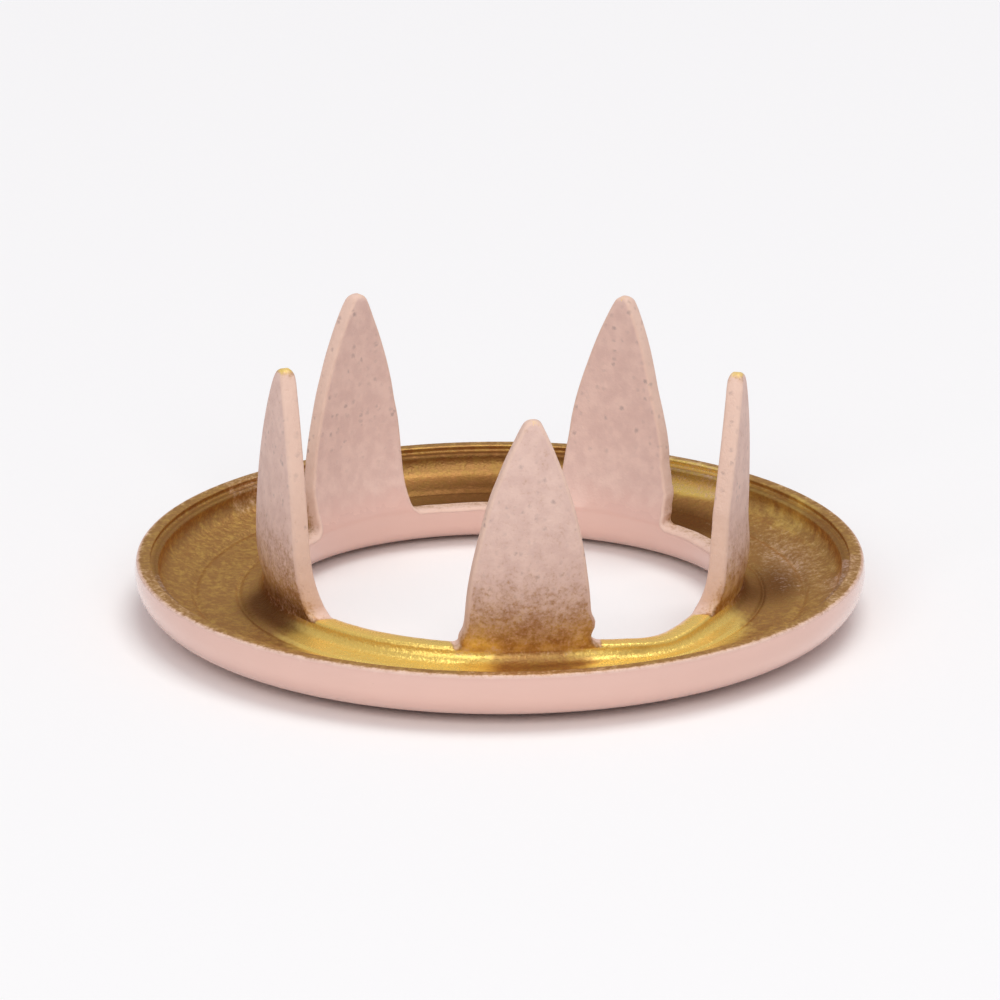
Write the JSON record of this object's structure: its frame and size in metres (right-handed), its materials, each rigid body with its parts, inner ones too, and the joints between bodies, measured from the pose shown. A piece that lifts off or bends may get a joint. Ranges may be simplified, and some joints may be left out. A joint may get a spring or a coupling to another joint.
{
  "type": "prong ring of a snap fastener",
  "caption": "Open prong ring of a snap fastener: a dished sheet brass ring, enamelled on its face, with a crown of pointed prongs bent up round its hole.",
  "frame": {"origin": "on the ring's axis, level with the crown of the painted face that the ring lies on", "axes": "+Z along the ring's axis, from the painted face towards the prongs' tips; -Y towards the front, about where the first prong stands"},
  "size_m": [0.0094, 0.0094, 0.0036],
  "materials": {
    "enamelled_brass": "gloss pink enamel on the face and in the hole, thin matt overspray on the prongs, bare brass in the channel"
  },
  "bodies": {
    "root": {"prong_ring": "enamelled_brass"}
  },
  "joints": []
}
